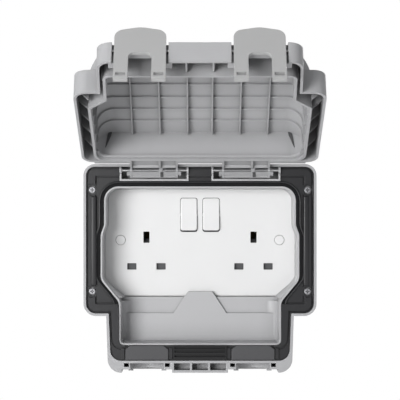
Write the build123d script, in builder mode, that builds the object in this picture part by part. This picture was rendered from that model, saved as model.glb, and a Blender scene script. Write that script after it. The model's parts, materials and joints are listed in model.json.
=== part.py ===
from build123d import *
from math import hypot, radians, sin
import os

os.makedirs("parts", exist_ok=True)

# Frame: the origin is the centre of the wall face, +Y points into the wall, +Z is up.
# A height here is the distance in front of the wall, so height h is at y = -h.

# Plate, a standard twin plate that sets the size of the box around it
plate_width = 146.0
plate_height = 86.0
plate_drop = 25.0
plate_face = 2.6
plate_skirt = 2.4
plate_deep = 9.0
plate_corner = 4.0
plate_edge = 1.6
plate_screw_spacing = 120.6

# Box
side_margin = 13.7
top_margin = 14.1
foot_margin = 55.1
box_depth = 56.0
box_wall = 1.9
back_wall = 2.6
back_edge = 2.0
wide_corner = 8.5
step_corner = 9.3
foot_corner = 10.0
foot_drop = 42.2
narrow_inset = 16.9
foot_inset = 1.4
foot_channel = 8.9

box_width = plate_width + 2 * side_margin
box_height = plate_height + top_margin + foot_margin
top_z = box_height / 2
foot_z = -box_height / 2
rim = box_depth
step_z = foot_z + foot_drop
narrow_half = box_width / 2 - narrow_inset
foot_half = narrow_half - foot_inset
plate_front = rim - plate_drop
plate_back = plate_front - plate_face
plate_z = top_z - top_margin - plate_height / 2
plate_low = plate_z - plate_height / 2
plate_high = plate_z + plate_height / 2

# Longer than any part of the box or lid, for cuts that go right through
reach = 200.0

# Cover screws and their bosses
cover_screw_x = box_width / 2 - 6.5
cover_screw_top = top_z - 19.2
cover_screw_low = step_z + 18.2
cover_boss_radius = 5.0
screw_shank_radius = 1.6
screw_head_radius = 2.6
screw_head_height = 1.5
screw_length = 13.0

# Wall fixings and cable entries
fixing_spacing_x = 120.0
fixing_spacing_z = 100.0
fixing_hole_radius = 2.6
fixing_pad_radius = 5.5
fixing_pad_height = 1.2
entry_radius = 10.2
entry_flange_radius = 12.0
entry_flange = 1.4
entry_skirt = 3.0
entry_height = 22.0
entry_side_z = 5.0

# Front frame
frame_gap = 0.3
frame_drop = 2.8
frame_flange = 2.6
frame_top = rim - frame_drop
frame_foot = foot_z + 9.2
tray_wall = 1.2
tray_rim_rise = 1.7
tray_draft = 2.0
tray_top = plate_high - 3.7
tray_upper_half = box_width / 2 - 16.5
tray_wide_half = box_width / 2 - 13.9
tray_lower_half = narrow_half - 10.6
tray_foot = foot_z + 21.7
tray_top_corner = 9.5
tray_side_corner = 8.0
tray_foot_corner = 2.4
apron_step_z = plate_low - 12.2
apron_step = 1.6
apron_thick = 2.2
apron_cove = 8.0
hump_top_half = 9.0
hump_step_half = 20.0

# Hinges
axis_z = top_z - 4.6
pocket_x = 34.2
pocket_width = 51.3
pocket_low = top_z - 12.5
pocket_wall = 1.4
pocket_depth = 14.0
pocket_rim_drop = 0.5
ear_radius = 2.5
pin_radius = 1.0
pin_clearance = 0.06
arm_width = 35.6
arm_wall = 1.6
arm_partition = 4.4
arm_barrel_radius = 2.2
arm_foot = 6.0
arm_nub = 2.3

# Mechanism behind the plate
outlet_x = 40.7
pin_pitch = 22.2
live_width = 7.0
live_height = 4.9
earth_width = 4.6
earth_height = 8.5
pin_line_z = plate_z - 20.1
earth_sleeve_drop = 4.0
rocker_x = 8.5
rocker_z = plate_z + 19.1
rocker_width = 12.6
rocker_height = 24.6
rocker_corner = 1.9
rocker_side_gap = 0.3
rocker_end_gap = 0.7
rocker_rise = 1.6
rocker_thick = 7.0
rocker_pivot_drop = 4.0
rocker_pivot_radius = 1.2
rocker_tilt = 5.5
cap_radius = 3.6
cap_gap = 0.25
shutter_thick = 3.2
shutter_gap = 0.3

# Lid, measured from the rim plane and the hinge axis
lid_angle = 117.0
lid_gap = 0.4
lid_top = top_z - 16.4
lid_step_z = step_z - 3.0
lid_wall = 1.9
skirt_depth_foot = 15.5
skirt_depth_top = 26.0
hood_half = box_width / 2 - 9.0
hood_narrow_half = narrow_half - 3.8
hood_shoulder_high = step_z + 18.4
hood_shoulder_low = step_z + 7.4
hood_foot = foot_z + 17.9
hood_wall = 2.0
hood_deep = 42.0
hood_deep_z = step_z + 13.4
hood_foot_depth = 21.0
hood_corner = 11.0
hood_roll = 15.0
bead = 2.0
bead_drop = 2.6
rib_proud = 1.5
rib_width = 1.0
gusset_width = 1.2
gusset_places = (97.5, 83.5, 67.0, 49.6, 30.0)
hoop_places = (28.2, 40.8, 53.6, 67.0, 81.0, 95.0)

# Clips
clip_x = 39.5
clip_width = 34.4
clip_recess_width = 37.5
clip_recess = 2.4
clip_thick = 2.8
clip_leg = 16.2
clip_finger = 28.0
clip_crown = 3.2
clip_shoulder = 6.5
clip_arch_width = 15.4
clip_arch_top = 6.3
clip_arch_corner = 4.2
clip_inner = foot_z + 1.7
clip_pivot_depth = 10.0
clip_pivot_z = foot_z + 2.0
clip_hub_radius = 2.2
clip_pin_radius = 0.9
clip_swing = 7.0
clip_slot_spacing = 24.8
clip_slot_depth = 11.7
clip_slot_width = 6.4
clip_slot_height = 3.0
nub_width = 3.6
nub_height = 1.8
nub_rise = 2.0
exit_half = 12.5
exit_deep = 14.0
cell_depth = 9.5

screw_places = [
    (side * cover_screw_x, height) for side in (-1, 1) for height in (cover_screw_top, cover_screw_low)
]
hinge_axis = Axis((0, -rim, axis_z), (1, 0, 0))


def at(height):
    """Plane parallel to the wall, at a height in front of it, drawn in x and z."""
    return Plane.XZ.offset(height)


def across(x):
    """Plane square to x, drawn in y and z."""
    return Plane.YZ.offset(x)


def corners_at(outline, level):
    """The corners of a drawn outline at one height."""
    return outline.vertices().filter_by_position(Axis.Y, level - 0.01, level + 0.01)


def stepped_outline(half, top, step_side, step_neck, neck, foot_side, foot, radii):
    """Outline with a wide upper part that steps in to a narrower foot."""
    top_radius, step_radius, foot_radius = radii
    with BuildSketch() as outline:
        with BuildLine():
            Polyline(
                (-half, top),
                (half, top),
                (half, step_side),
                (neck, step_neck),
                (foot_side, foot),
                (-foot_side, foot),
                (-neck, step_neck),
                (-half, step_side),
                close=True,
            )
        make_face()
        fillet(corners_at(outline, top), top_radius)
        wide = outline.vertices().filter_by(lambda v: abs(abs(v.X) - half) < 0.01 and v.Y < step_side + 0.01)
        fillet(wide, step_radius)
        fillet(corners_at(outline, foot), foot_radius)
    return outline.sketch


def housing(inset=0.0, top=top_z, foot=foot_z, step=step_z):
    """The box outline drawn in by an inset."""
    return stepped_outline(
        box_width / 2 - inset,
        top - inset,
        step + inset,
        step + inset,
        narrow_half - inset,
        foot_half - inset,
        foot + inset,
        (max(wide_corner - inset, 1.0), max(step_corner - inset, 1.0), max(foot_corner - inset, 1.0)),
    )


def tray_outline(grow=0.0):
    """The tray opening, grown outwards."""
    upper = tray_upper_half + grow
    wide = tray_wide_half + grow
    lower = tray_lower_half + grow
    top = tray_top + grow
    foot = tray_foot - grow
    flare_high = plate_z + 11.5
    flare_low = plate_z + 4.5
    waist_high = step_z + 27.4 - grow / 2
    waist_low = step_z + 10.9 - grow / 2
    with BuildSketch() as outline:
        with BuildLine():
            Polyline(
                (-upper, top),
                (upper, top),
                (upper, flare_high),
                (wide, flare_low),
                (wide, waist_high),
                (lower, waist_low),
                (lower, foot),
                (-lower, foot),
                (-lower, waist_low),
                (-wide, waist_high),
                (-wide, flare_low),
                (-upper, flare_high),
                close=True,
            )
        make_face()
        fillet(corners_at(outline, top), tray_top_corner + grow)
        fillet(corners_at(outline, foot), tray_foot_corner + grow)
        fillet(corners_at(outline, flare_low), tray_side_corner + grow)
        fillet(corners_at(outline, flare_high), tray_side_corner - grow)
        fillet(corners_at(outline, waist_high), tray_side_corner + grow)
        fillet(corners_at(outline, waist_low), tray_side_corner - grow)
    return outline.sketch


def finish(piece, label):
    """Name a piece and write it."""
    piece.label = label
    export_step(piece, f"parts/{label}.step")


# Back box
cavity_foot = foot_z + foot_channel
exit_floor = foot_z + clip_recess + box_wall
with BuildPart() as back_box:
    with BuildSketch(at(0)):
        add(housing())
    extrude(amount=rim)
    fillet(back_box.faces().sort_by(Axis.Y)[-1].edges(), back_edge)
    with BuildSketch(at(back_wall)):
        add(housing(box_wall, foot=cavity_foot - box_wall))
    extrude(amount=rim, mode=Mode.SUBTRACT)
    with BuildSketch(at(back_wall)):
        with Locations(*screw_places):
            Circle(cover_boss_radius)
        with Locations((-plate_screw_spacing / 2, plate_z), (plate_screw_spacing / 2, plate_z)):
            Circle(4.4)
    extrude(amount=frame_top - frame_flange - back_wall)
    with BuildSketch(at(plate_back - plate_deep + plate_face)):
        with Locations((-plate_screw_spacing / 2, plate_z), (plate_screw_spacing / 2, plate_z)):
            Circle(6.0)
    extrude(amount=rim, mode=Mode.SUBTRACT)
    with BuildSketch(at(frame_top - frame_flange - screw_length)):
        with Locations(*screw_places):
            Circle(screw_shank_radius)
    extrude(amount=rim, mode=Mode.SUBTRACT)
    with BuildSketch(at(back_wall)):
        with GridLocations(fixing_spacing_x, fixing_spacing_z, 2, 2):
            Circle(fixing_pad_radius)
    extrude(amount=fixing_pad_height)
    with BuildSketch(at(-1)):
        with GridLocations(fixing_spacing_x, fixing_spacing_z, 2, 2):
            Circle(fixing_hole_radius)
    extrude(amount=10, mode=Mode.SUBTRACT)
    with BuildSketch(at(plate_back - 16)):
        with Locations((-plate_screw_spacing / 2, plate_z), (plate_screw_spacing / 2, plate_z)):
            Circle(screw_shank_radius)
    extrude(amount=rim, mode=Mode.SUBTRACT)
    with BuildSketch(across(-box_width / 2 - 1)):
        with Locations((-entry_height, entry_side_z)):
            Circle(entry_radius)
    extrude(amount=box_width + 2, mode=Mode.SUBTRACT)
    # Shallow cells and scooped cable exits in the foot, open to the front
    cell_high = cavity_foot - box_wall
    cell_low = foot_z + box_wall
    with BuildSketch(at(rim - cell_depth)):
        for cell_x in (-13.4, 0, 13.4):
            with Locations((cell_x, (cell_high + cell_low) / 2)):
                Rectangle(11.8, cell_high - cell_low)
    extrude(amount=reach, mode=Mode.SUBTRACT)
    for side in (-1, 1):
        with BuildSketch(at(rim - exit_deep - 3)):
            with Locations((side * clip_x, (cell_high + exit_floor) / 2)):
                with GridLocations(2 * exit_half + 5.4, 1, 2, 1):
                    Rectangle(3.6, cell_high - exit_floor)
        extrude(amount=reach, mode=Mode.SUBTRACT)
        with BuildSketch(at(rim - 26)):
            with Locations((side * clip_x, foot_z)):
                Rectangle(clip_recess_width, 2 * clip_recess)
        extrude(amount=reach, mode=Mode.SUBTRACT)
        with BuildSketch(Plane.XY.offset(foot_z)):
            with Locations((side * clip_x, -rim)):
                Ellipse(exit_half, exit_deep)
        extrude(amount=cell_high - foot_z, mode=Mode.SUBTRACT)
        with BuildSketch(Plane.XY.offset(foot_z + clip_recess)):
            with Locations((side * clip_x, clip_slot_depth - rim)):
                with GridLocations(clip_slot_spacing, 1, 2, 1):
                    Rectangle(nub_width, nub_height)
        extrude(amount=-nub_rise)
finish(back_box.part, "back_box")

# Front frame
pocket_floor = rim - pocket_depth
frame_edge = box_wall + frame_gap
with BuildPart() as front_frame:
    with BuildSketch(at(frame_top - frame_flange)):
        add(housing(frame_edge, foot=frame_foot - frame_edge))
    extrude(amount=frame_flange)
    tray_rim = frame_top + tray_rim_rise
    with BuildSketch(at(tray_rim)):
        add(tray_outline(tray_wall))
    extrude(amount=plate_front + frame_gap - tray_rim, taper=tray_draft)
    with BuildSketch(at(tray_rim)):
        add(tray_outline())
    extrude(amount=plate_front + frame_gap - 1 - tray_rim, taper=tray_draft, mode=Mode.SUBTRACT)
    # Apron under the plate, with its step, its centre hump and the coves along its edges
    with BuildSketch(at(plate_front + frame_gap)):
        with BuildLine():
            Polyline(
                (-tray_lower_half - 2.2, plate_low),
                (tray_lower_half + 2.2, plate_low),
                (tray_lower_half, plate_low - 2.5),
                (tray_lower_half, tray_foot - 0.5),
                (-tray_lower_half, tray_foot - 0.5),
                (-tray_lower_half, plate_low - 2.5),
                close=True,
            )
        make_face()
    extrude(amount=apron_thick)
    with BuildSketch(at(plate_front + frame_gap)):
        with BuildLine():
            Polyline(
                (-tray_lower_half, apron_step_z),
                (-hump_step_half, apron_step_z),
                (-hump_top_half - 3, plate_low),
                (-hump_top_half, plate_low + 4),
                (hump_top_half, plate_low + 4),
                (hump_top_half + 3, plate_low),
                (hump_step_half, apron_step_z),
                (tray_lower_half, apron_step_z),
                (tray_lower_half, tray_foot - 0.5),
                (-tray_lower_half, tray_foot - 0.5),
                close=True,
            )
        make_face()
    extrude(amount=apron_thick + apron_step)
    apron_front = plate_front + frame_gap + apron_thick
    with BuildSketch(Plane.XY.offset(tray_foot - 0.3)):
        for side in (-1, 1):
            cove_x = side * (tray_lower_half - 0.2 - apron_cove)
            with Locations((cove_x + side * apron_cove / 2, 0.5 - apron_front - apron_cove / 2)):
                Rectangle(apron_cove, apron_cove)
            with Locations((cove_x, -apron_front - apron_cove)):
                Circle(apron_cove, mode=Mode.SUBTRACT)
    extrude(amount=plate_low - 2.5 - tray_foot)
    with BuildSketch(across(-tray_lower_half)):
        with Locations((0.5 - apron_front - apron_step - 2.5, tray_foot + 2.3)):
            Rectangle(5.0, 5.0)
        with Locations((-apron_front - apron_step - 5.0, tray_foot + 4.8)):
            Circle(5.0, mode=Mode.SUBTRACT)
    extrude(amount=2 * tray_lower_half)
    for side in (-1, 1):
        with BuildSketch(at(pocket_floor - pocket_wall)):
            with Locations((side * pocket_x, (pocket_low + top_z - frame_edge) / 2)):
                Rectangle(pocket_width, top_z - frame_edge - pocket_low)
        extrude(amount=pocket_depth + pocket_wall - pocket_rim_drop)
        for wall_side in (-1, 1):
            ear_x = side * pocket_x + wall_side * (pocket_width - pocket_wall) / 2
            with BuildSketch(across(ear_x - pocket_wall / 2)):
                with Locations((-rim, axis_z)):
                    Circle(ear_radius)
            extrude(amount=pocket_wall)
        with BuildSketch(at(pocket_floor)):
            with Locations((side * pocket_x, pocket_low + pocket_wall + 10)):
                Rectangle(pocket_width - 2 * pocket_wall, 20)
        extrude(amount=30, mode=Mode.SUBTRACT)
        with BuildSketch(across(side * pocket_x - pocket_width / 2 - 1)):
            with Locations((-rim, axis_z)):
                Circle(pin_radius)
        extrude(amount=pocket_width + 2, mode=Mode.SUBTRACT)
    with BuildSketch(at(0)):
        with Locations(*screw_places):
            Circle(screw_shank_radius)
    extrude(amount=rim, mode=Mode.SUBTRACT)
finish(front_frame.part, "front_frame")

for side, name in ((-1, "left"), (1, "right")):
    with BuildPart() as hinge_pin:
        with BuildSketch(across(side * pocket_x - pocket_width / 2)):
            with Locations((-rim, axis_z)):
                Circle(pin_radius)
        extrude(amount=pocket_width)
    finish(hinge_pin.part, f"hinge_pin_{name}")

# Black seal frame on the front frame: a base, a raised band between two grooves, and posts
seal_base = 1.2
seal_band = 1.4
flap_base = 0.8
flap_low = frame_foot
flap_high = tray_foot - tray_wall
flap_half = 16.2
strip_half = 20.0
band_in = frame_edge + 1.6
band_out = frame_edge + 6.6
with BuildPart() as seal_frame:
    with BuildSketch(at(frame_top)):
        add(housing(frame_edge, foot=frame_foot - frame_edge))
    extrude(amount=seal_base)
    with BuildSketch(at(frame_top + seal_base)):
        add(housing(band_in, foot=flap_low + 6))
        add(housing(band_out, foot=flap_low + 14), mode=Mode.SUBTRACT)
        with Locations(*screw_places):
            Circle(screw_head_radius + 2.0, mode=Mode.SUBTRACT)
    extrude(amount=seal_band)
    with BuildSketch(at(frame_top + seal_base - 0.8)):
        add(housing(band_in - 0.9, foot=flap_low + 5.1))
        add(housing(band_in, foot=flap_low + 6), mode=Mode.SUBTRACT)
    extrude(amount=reach, mode=Mode.SUBTRACT)
    with BuildSketch(at(frame_top + seal_base - 0.8)):
        add(housing(band_out, foot=flap_low + 14))
        add(housing(band_out + 1.2, foot=flap_low + 15.2), mode=Mode.SUBTRACT)
        with Locations(*screw_places):
            Circle(screw_head_radius + 2.0, mode=Mode.SUBTRACT)
    extrude(amount=reach, mode=Mode.SUBTRACT)
    with BuildSketch(at(frame_top + flap_base)):
        with Locations((0, (flap_low + flap_high) / 2)):
            Rectangle(2 * (clip_x + flap_half), flap_high - flap_low + 4)
    extrude(amount=reach, mode=Mode.SUBTRACT)
    with BuildSketch(at(frame_top)):
        for post_x in (clip_x - flap_half - 1.65, clip_x + flap_half + 1.7):
            with Locations((-post_x, flap_low + 5), (post_x, flap_low + 5)):
                Rectangle(2.4, 8.0)
    extrude(amount=seal_base + seal_band - 0.1)
    with BuildSketch(at(frame_top)):
        add(tray_outline(tray_wall + 0.02))
    extrude(amount=reach, mode=Mode.SUBTRACT)
    for side in (-1, 1):
        with BuildSketch(at(frame_top)):
            with Locations((side * pocket_x, pocket_low + 10)):
                Rectangle(pocket_width, 20)
        extrude(amount=reach, mode=Mode.SUBTRACT)
    with BuildSketch(at(frame_top)):
        with Locations(*screw_places):
            Circle(screw_head_radius + 0.4)
    extrude(amount=reach, mode=Mode.SUBTRACT)
finish(seal_frame.part, "seal_frame")

# Four cover screws
with BuildPart() as cover_screws:
    with BuildSketch(at(frame_top)):
        with Locations(*screw_places):
            Circle(screw_head_radius)
    extrude(amount=screw_head_height)
    fillet(cover_screws.faces().group_by(Axis.Y)[0].edges(), 0.6)
    with BuildSketch(at(frame_top - screw_length)):
        with Locations(*screw_places):
            Circle(screw_shank_radius)
    extrude(amount=screw_length)
    with BuildSketch(at(frame_top + 0.7)):
        with Locations(*screw_places):
            Rectangle(2.8, 0.6)
            Rectangle(0.6, 2.8)
    extrude(amount=2, mode=Mode.SUBTRACT)
finish(cover_screws.part, "cover_screws")

# Rubber flaps over the cable exits and the strip between them
flap_thick = 2.0
for side, name in ((-1, "left"), (1, "right")):
    with BuildPart() as cable_flap:
        with BuildSketch(at(frame_top + flap_base)):
            with BuildLine():
                Polyline(
                    (side * clip_x - flap_half, flap_low),
                    (side * clip_x + flap_half, flap_low),
                    (side * clip_x + flap_half, flap_high - 3),
                    (side * clip_x + flap_half - 4, flap_high - 0.1),
                    (side * clip_x - flap_half + 4, flap_high - 0.1),
                    (side * clip_x - flap_half, flap_high - 3),
                    close=True,
                )
            make_face()
        extrude(amount=flap_thick)
        fillet(cable_flap.faces().sort_by(Axis.Y)[0].edges(), 0.8)
    finish(cable_flap.part, f"cable_flap_{name}")
with BuildPart() as centre_seal_strip:
    with BuildSketch(at(frame_top + flap_base)):
        with Locations((0, (flap_low + flap_high) / 2)):
            Rectangle(2 * strip_half, flap_high - flap_low - 0.2)
    extrude(amount=flap_thick)
    with BuildSketch(at(frame_top + flap_base + 0.4)):
        for slot_z in (flap_high - 2.0, flap_high - 4.6, flap_high - 8.0):
            with Locations((0, slot_z)):
                Rectangle(2 * strip_half - 2.4, 1.6)
    extrude(amount=reach, mode=Mode.SUBTRACT)
finish(centre_seal_strip.part, "centre_seal_strip")

# Socket plate
pin_places = []
for side in (-1, 1):
    pin_places.append((side * outlet_x - pin_pitch / 2, pin_line_z))
    pin_places.append((side * outlet_x + pin_pitch / 2, pin_line_z))
earth_places = [(side * outlet_x, pin_line_z + pin_pitch) for side in (-1, 1)]
plate_screw_places = [(side * plate_screw_spacing / 2, plate_z) for side in (-1, 1)]
rocker_places = [(side * rocker_x, rocker_z) for side in (-1, 1)]
with BuildPart() as socket_plate:
    with BuildSketch(at(plate_front - plate_deep)):
        with Locations((0, plate_z)):
            RectangleRounded(plate_width, plate_height, plate_corner)
    extrude(amount=plate_deep)
    fillet(socket_plate.faces().sort_by(Axis.Y)[0].edges(), plate_edge)
    with BuildSketch(at(plate_front - plate_deep - 1)):
        with Locations((0, plate_z)):
            RectangleRounded(plate_width - 2 * plate_skirt, plate_height - 2 * plate_skirt, 2.0)
    extrude(amount=plate_deep + 1 - plate_face, mode=Mode.SUBTRACT)
    with BuildSketch(at(plate_front - plate_deep)):
        with Locations(*plate_screw_places):
            Circle(5.0)
    extrude(amount=plate_deep - 1)
    with BuildSketch(at(plate_front - plate_deep - 1)):
        with Locations(*plate_screw_places):
            Circle(1.9)
        with Locations(*pin_places):
            RectangleRounded(live_width, live_height, 0.5)
        with Locations(*earth_places):
            RectangleRounded(earth_width, earth_height, 0.5)
        with Locations(*rocker_places):
            well_width = rocker_width + 2 * rocker_side_gap
            RectangleRounded(well_width, rocker_height + 2 * rocker_end_gap, rocker_corner)
    extrude(amount=plate_deep + 5, mode=Mode.SUBTRACT)
    with BuildSketch(at(plate_front - 4.0)):
        with Locations(*plate_screw_places):
            Circle(cap_radius + cap_gap)
    extrude(amount=10, mode=Mode.SUBTRACT)
finish(socket_plate.part, "socket_plate")

with BuildPart() as plate_screws:
    with BuildSketch(at(plate_front - 4.0)):
        with Locations(*plate_screw_places):
            Circle(3.2)
    extrude(amount=1.8)
    with BuildSketch(at(plate_front - 18.0)):
        with Locations(*plate_screw_places):
            Circle(1.6)
    extrude(amount=14.0)
    with BuildSketch(at(plate_front - 3.0)):
        with Locations(*plate_screw_places):
            Rectangle(6.6, 0.8)
    extrude(amount=2, mode=Mode.SUBTRACT)
finish(plate_screws.part, "plate_screws")

for side, name in ((-1, "left"), (1, "right")):
    with BuildPart() as screw_cap:
        with BuildSketch(at(plate_front - 2.2)):
            with Locations((side * plate_screw_spacing / 2, plate_z)):
                Circle(cap_radius)
        extrude(amount=2.5)
        fillet(screw_cap.faces().sort_by(Axis.Y)[0].edges(), 0.3)
    finish(screw_cap.part, f"screw_cap_{name}")

# Base moulding behind the plate
base_front = plate_back - shutter_thick - 2 * shutter_gap
base_back = base_front - 14.0
base_low = plate_low + 5.0
base_high = plate_high - 8.5
pivot_height = plate_front - rocker_pivot_drop
pivot_cheek = 1.6
rocker_well = 4.0
supply_drop = 9.0
with BuildPart() as socket_base:
    with BuildSketch(at(base_back)):
        with Locations((0, (base_low + base_high) / 2)):
            Rectangle(plate_width - 20.0, base_high - base_low)
        with Locations(*plate_screw_places):
            Circle(5.4, mode=Mode.SUBTRACT)
    extrude(amount=base_front - base_back)
    with BuildSketch(at(base_front - rocker_well)):
        with Locations(*rocker_places):
            Rectangle(rocker_width + 2 * rocker_side_gap, rocker_height + 4)
        with Locations((0, rocker_z - supply_drop)):
            Rectangle(2 * rocker_x + 8.4, 4.2)
    extrude(amount=5, mode=Mode.SUBTRACT)
    with BuildSketch(at(base_front)):
        for side in (-1, 1):
            for cheek in (-1, 1):
                cheek_x = side * rocker_x + cheek * (rocker_width / 2 + rocker_side_gap + pivot_cheek / 2)
                with Locations((cheek_x, rocker_z)):
                    Rectangle(pivot_cheek, 6.0)
            for rail in (-1, 1):
                with Locations((side * outlet_x + rail * 16.4, pin_line_z - 2.4)):
                    Rectangle(1.4, 16.0)
            with Locations((side * outlet_x, base_low + 0.8)):
                Rectangle(12.0, 1.6)
        with Locations((0, base_low + 6), (0, base_high - 1), (-50, base_high - 1), (50, base_high - 1)):
            Rectangle(8.0, 2.0)
    extrude(amount=plate_back - base_front)
    with BuildSketch(at(base_back)):
        with Locations(*pin_places):
            Rectangle(live_width + 2.0, live_height + 2.0)
        with Locations(*earth_places):
            Rectangle(earth_width + 2.0, earth_height + 2.0)
    extrude(amount=30, mode=Mode.SUBTRACT)
    with BuildSketch(at(base_back)):
        with Locations((0, pin_line_z + pin_pitch + 2.0)):
            Rectangle(2 * outlet_x, 5.0)
        with Locations((0, pin_line_z - 3.5)):
            Rectangle(2 * outlet_x + pin_pitch + 4.0, 11.0)
    extrude(amount=3.0, mode=Mode.SUBTRACT)
    with BuildSketch(across(-20)):
        with Locations((-pivot_height, rocker_z)):
            Circle(rocker_pivot_radius + 0.06)
    extrude(amount=40, mode=Mode.SUBTRACT)
finish(socket_base.part, "socket_base")


def contact_tube(x, z, width, height, drop):
    """A brass sleeve that grips one pin, in the cavity of the base, set back by a drop."""
    middle = -(base_front - (9.0 + drop) / 2)
    sleeve = Pos(x, middle, z) * Box(width + 1.6, 9.0 - drop, height + 1.6)
    return sleeve - Pos(x, middle, z) * Box(width, 9.2 - drop, height)


neutral_left = -outlet_x + pin_pitch / 2
neutral_right = outlet_x + pin_pitch / 2
neutral_places = [(neutral_left, pin_line_z), (neutral_right, pin_line_z)]
live_places = [(-outlet_x - pin_pitch / 2, pin_line_z), (outlet_x - pin_pitch / 2, pin_line_z)]
riser_start = base_back + 2.8
riser_end = base_front - 9.0


def contact_with_riser(places, width, height, bar_z, drop=0.0):
    """Sleeves with a strip behind each and, for two of them, a bar that joins the strips."""
    body = None
    for x, z in places:
        sleeve = contact_tube(x, z, width, height, drop)
        back_y = -(riser_start + riser_end) / 2
        riser = Pos(x, back_y, z + height / 2 + 0.4) * Box(3.0, riser_end - riser_start + 1.0, 0.8)
        foot_low = min(bar_z, z - height / 2)
        foot_high = z + height / 2 + 0.8
        foot = Pos(x, -(riser_start - 0.4), (foot_low + foot_high) / 2) * Box(3.0, 0.8, foot_high - foot_low)
        body = sleeve + riser + foot if body is None else body + sleeve + riser + foot
    if len(places) == 2:
        left, right = places[0][0], places[1][0]
        middle = (left + right) / 2
        body += Pos(middle, -(riser_start - 0.4), bar_z) * Box(right - left, 0.8, 4.0)
    return body


finish(contact_with_riser(neutral_places, live_width, live_height, pin_line_z - 5.6), "neutral_bar")
earth_bar_z = pin_line_z + pin_pitch + 2.0
earth_bar = contact_with_riser(earth_places, earth_width, earth_height, earth_bar_z, earth_sleeve_drop)
finish(earth_bar, "earth_bar")
finish(contact_with_riser(live_places[:1], live_width, live_height, pin_line_z), "live_contact_left")
finish(contact_with_riser(live_places[1:], live_width, live_height, pin_line_z), "live_contact_right")

# Supply bar under the switches, and the moving contacts on the rockers
with BuildPart() as supply_bar:
    with BuildSketch(at(base_front - rocker_well)):
        with Locations((0, rocker_z - supply_drop)):
            Rectangle(2 * rocker_x + 8.0, 4.0)
    extrude(amount=0.8)
finish(supply_bar.part, "supply_bar")

rocker_front = plate_front + rocker_rise
rocker_back = rocker_front - rocker_thick
rocker_axis = Axis((0, -pivot_height, rocker_z), (1, 0, 0))
for side, name in ((-1, "left"), (1, "right")):
    with BuildPart() as rocker:
        with BuildSketch(at(rocker_back)):
            with Locations((side * rocker_x, rocker_z)):
                RectangleRounded(rocker_width, rocker_height, rocker_corner)
        extrude(amount=rocker_thick)
        fillet(rocker.faces().sort_by(Axis.Y)[0].edges(), 0.7)
        with BuildSketch(across(side * rocker_x - rocker_width / 2 - 1.2)):
            with Locations((-pivot_height, rocker_z)):
                Circle(rocker_pivot_radius)
        extrude(amount=rocker_width + 2.4)
    finish(rocker.part.rotate(rocker_axis, -rocker_tilt), f"rocker_{name}")
    with BuildPart() as switch_contact:
        with BuildSketch(at(rocker_back - 0.8)):
            with Locations((side * rocker_x, rocker_z)):
                Rectangle(4.0, 20.0)
        extrude(amount=0.8)
    finish(switch_contact.part.rotate(rocker_axis, -rocker_tilt), f"switch_contact_{name}")

# Shutters and their leaf springs
shutter_back = base_front + shutter_gap
for side, name in ((-1, "left"), (1, "right")):
    middle = side * outlet_x
    with BuildPart() as shutter:
        with BuildSketch(at(shutter_back)):
            with Locations((middle, pin_line_z)):
                Rectangle(30.6, 7.4)
            with Locations((middle, pin_line_z + 10.0)):
                Rectangle(6.6, 14.0)
        extrude(amount=shutter_thick)
        with BuildSketch(across(middle - 3.3)):
            with BuildLine():
                Polyline(
                    (-shutter_back, pin_line_z + 16.9),
                    (-shutter_back, pin_line_z + 21.0),
                    (-shutter_back - shutter_thick, pin_line_z + 16.9),
                    close=True,
                )
            make_face()
        extrude(amount=6.6)
    finish(shutter.part, f"shutter_{name}")
    spring_top = pin_line_z - 3.7
    spring_low = base_low + 1.6
    with BuildPart() as shutter_spring:
        with BuildSketch(at(shutter_back + 0.6)):
            with BuildLine():
                Polyline(
                    (middle - 4.0, spring_top),
                    (middle + 4.0, (spring_top + spring_low) / 2),
                    (middle - 4.0, spring_low),
                    (middle - 3.4, spring_low),
                    (middle + 4.8, (spring_top + spring_low) / 2),
                    (middle - 3.4, spring_top),
                    close=True,
                )
            make_face()
        extrude(amount=2.0)
    finish(shutter_spring.part, f"shutter_spring_{name}")

# Terminal screws in the back of the base
terminal_places = [(-12, plate_z - 8.5), (0, plate_z - 8.5), (12, plate_z - 8.5), (0, plate_z + 13.5)]
with BuildPart() as terminal_screws:
    with BuildSketch(at(base_back - 1.5)):
        with Locations(*terminal_places):
            Circle(2.0)
    extrude(amount=1.5)
    with BuildSketch(at(base_back - 1.5)):
        with Locations(*terminal_places):
            Rectangle(4.4, 0.7)
    extrude(amount=0.7, mode=Mode.SUBTRACT)
finish(terminal_screws.part, "terminal_screws")


def entry_plug(plane):
    """Round blanking plug, drawn on the outer face of a wall."""
    with BuildPart() as plug:
        with BuildSketch(plane):
            Circle(entry_flange_radius)
        extrude(amount=entry_flange)
        with BuildSketch(plane):
            Circle(entry_radius)
        extrude(amount=-box_wall - entry_skirt)
        with BuildSketch(plane.offset(-box_wall - entry_skirt)):
            Circle(entry_radius - 1.6)
        extrude(amount=box_wall + entry_skirt - 1.0, mode=Mode.SUBTRACT)
        with BuildSketch(plane.offset(entry_flange)):
            Rectangle(12.0, 1.6)
        extrude(amount=-0.8, mode=Mode.SUBTRACT)
    return plug.part


for side, name in ((-1, "left"), (1, "right")):
    entry_place = (side * box_width / 2, -entry_height, entry_side_z)
    finish(entry_plug(Plane(entry_place, x_dir=(0, 1, 0), z_dir=(side, 0, 0))), f"entry_plug_{name}")


# Lid, modelled closed and then turned open about the hinge axis
def hood_outline(inset=0.0):
    """Outline of the deep hood inside the skirt."""
    return stepped_outline(
        hood_half - inset,
        lid_top - inset,
        hood_shoulder_high + inset / 2,
        hood_shoulder_low + inset / 2,
        hood_narrow_half - inset,
        hood_narrow_half - inset - 0.8,
        hood_foot + inset,
        (hood_corner - min(inset, 3.0), 3.5, 5.0 - min(inset, 3.0)),
    )


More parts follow.
